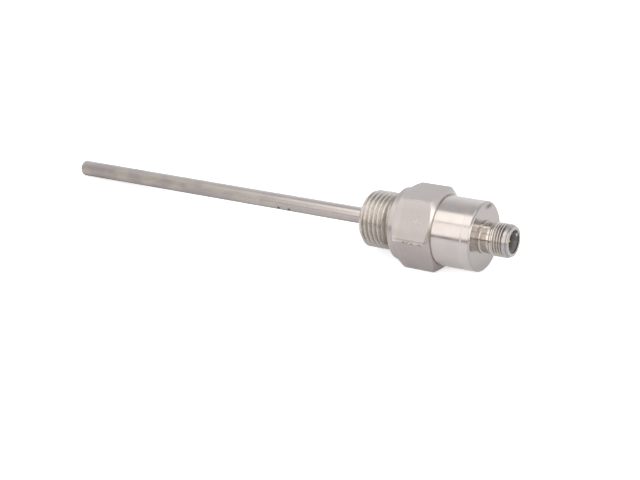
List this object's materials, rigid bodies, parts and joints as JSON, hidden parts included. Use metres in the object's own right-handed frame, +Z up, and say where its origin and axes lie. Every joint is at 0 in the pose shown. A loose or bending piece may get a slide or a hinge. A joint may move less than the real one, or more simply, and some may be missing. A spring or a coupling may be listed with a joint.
{
  "type": "rtd temperature probe with connector head",
  "caption": "Resistance thermometer probe: straight closed sheath, screw-in fitting with a hexagon, short round head and a threaded pin plug for a cable.",
  "frame": {"origin": "on the probe's axis, in the plane of the collar's sealing face, where it meets the process connection", "axes": "+X along the axis towards the plug, so the sheath runs towards -X; +Z up, square to one flat of the hexagon"},
  "size_m": [0.1931, 0.0312, 0.027],
  "materials": {
    "sheath_steel": "drawn stainless tube, satin with a faint heat mottle",
    "fitting_steel": "turned and milled stainless steel, satin",
    "housing_steel": "finely turned stainless steel, bright",
    "plug_nickel": "nickel plating, bright",
    "insert_plastic": "moulded, dark grey",
    "contact_gold": "gold plating",
    "ring_brass": "plain turned brass",
    "seal_rubber": "smooth black rubber",
    "sensor_ceramic": "fired ceramic with a glass bead",
    "lead_nickel": "bare nickel wire and tube",
    "amber_film": "clear amber insulating film",
    "cement": "dull cast cement",
    "bush_plastic": "white fluoroplastic",
    "resin": "cast dark resin",
    "wire_red": "extruded insulation, red",
    "wire_white": "extruded insulation, white",
    "shrink_black": "shrunk tubing, black"
  },
  "bodies": {
    "root": {"sheath_tube": "sheath_steel", "tip_plug": "sheath_steel", "sensor_chip": "sensor_ceramic", "chip_leads": "lead_nickel", "splice_tube_1": "lead_nickel", "splice_tube_2": "lead_nickel", "sensor_sleeve": "amber_film", "tip_filling": "cement", "lead_wire_1": "wire_red", "lead_wire_2": "wire_white", "lead_wire_3": "wire_red", "lead_wire_4": "wire_white", "guide_bush": "bush_plastic", "process_fitting": "fitting_steel", "resin_seal": "resin", "housing_sleeve": "housing_steel", "end_cover": "housing_steel", "plug_shell": "plug_nickel", "plug_insert": "insert_plastic", "insert_o_ring": "seal_rubber", "press_ring": "ring_brass", "contact_pin_1": "contact_gold", "contact_pin_2": "contact_gold", "contact_pin_3": "contact_gold", "contact_pin_4": "contact_gold", "shrink_sleeve_1": "shrink_black", "shrink_sleeve_2": "shrink_black", "shrink_sleeve_3": "shrink_black", "shrink_sleeve_4": "shrink_black"}
  },
  "joints": []
}
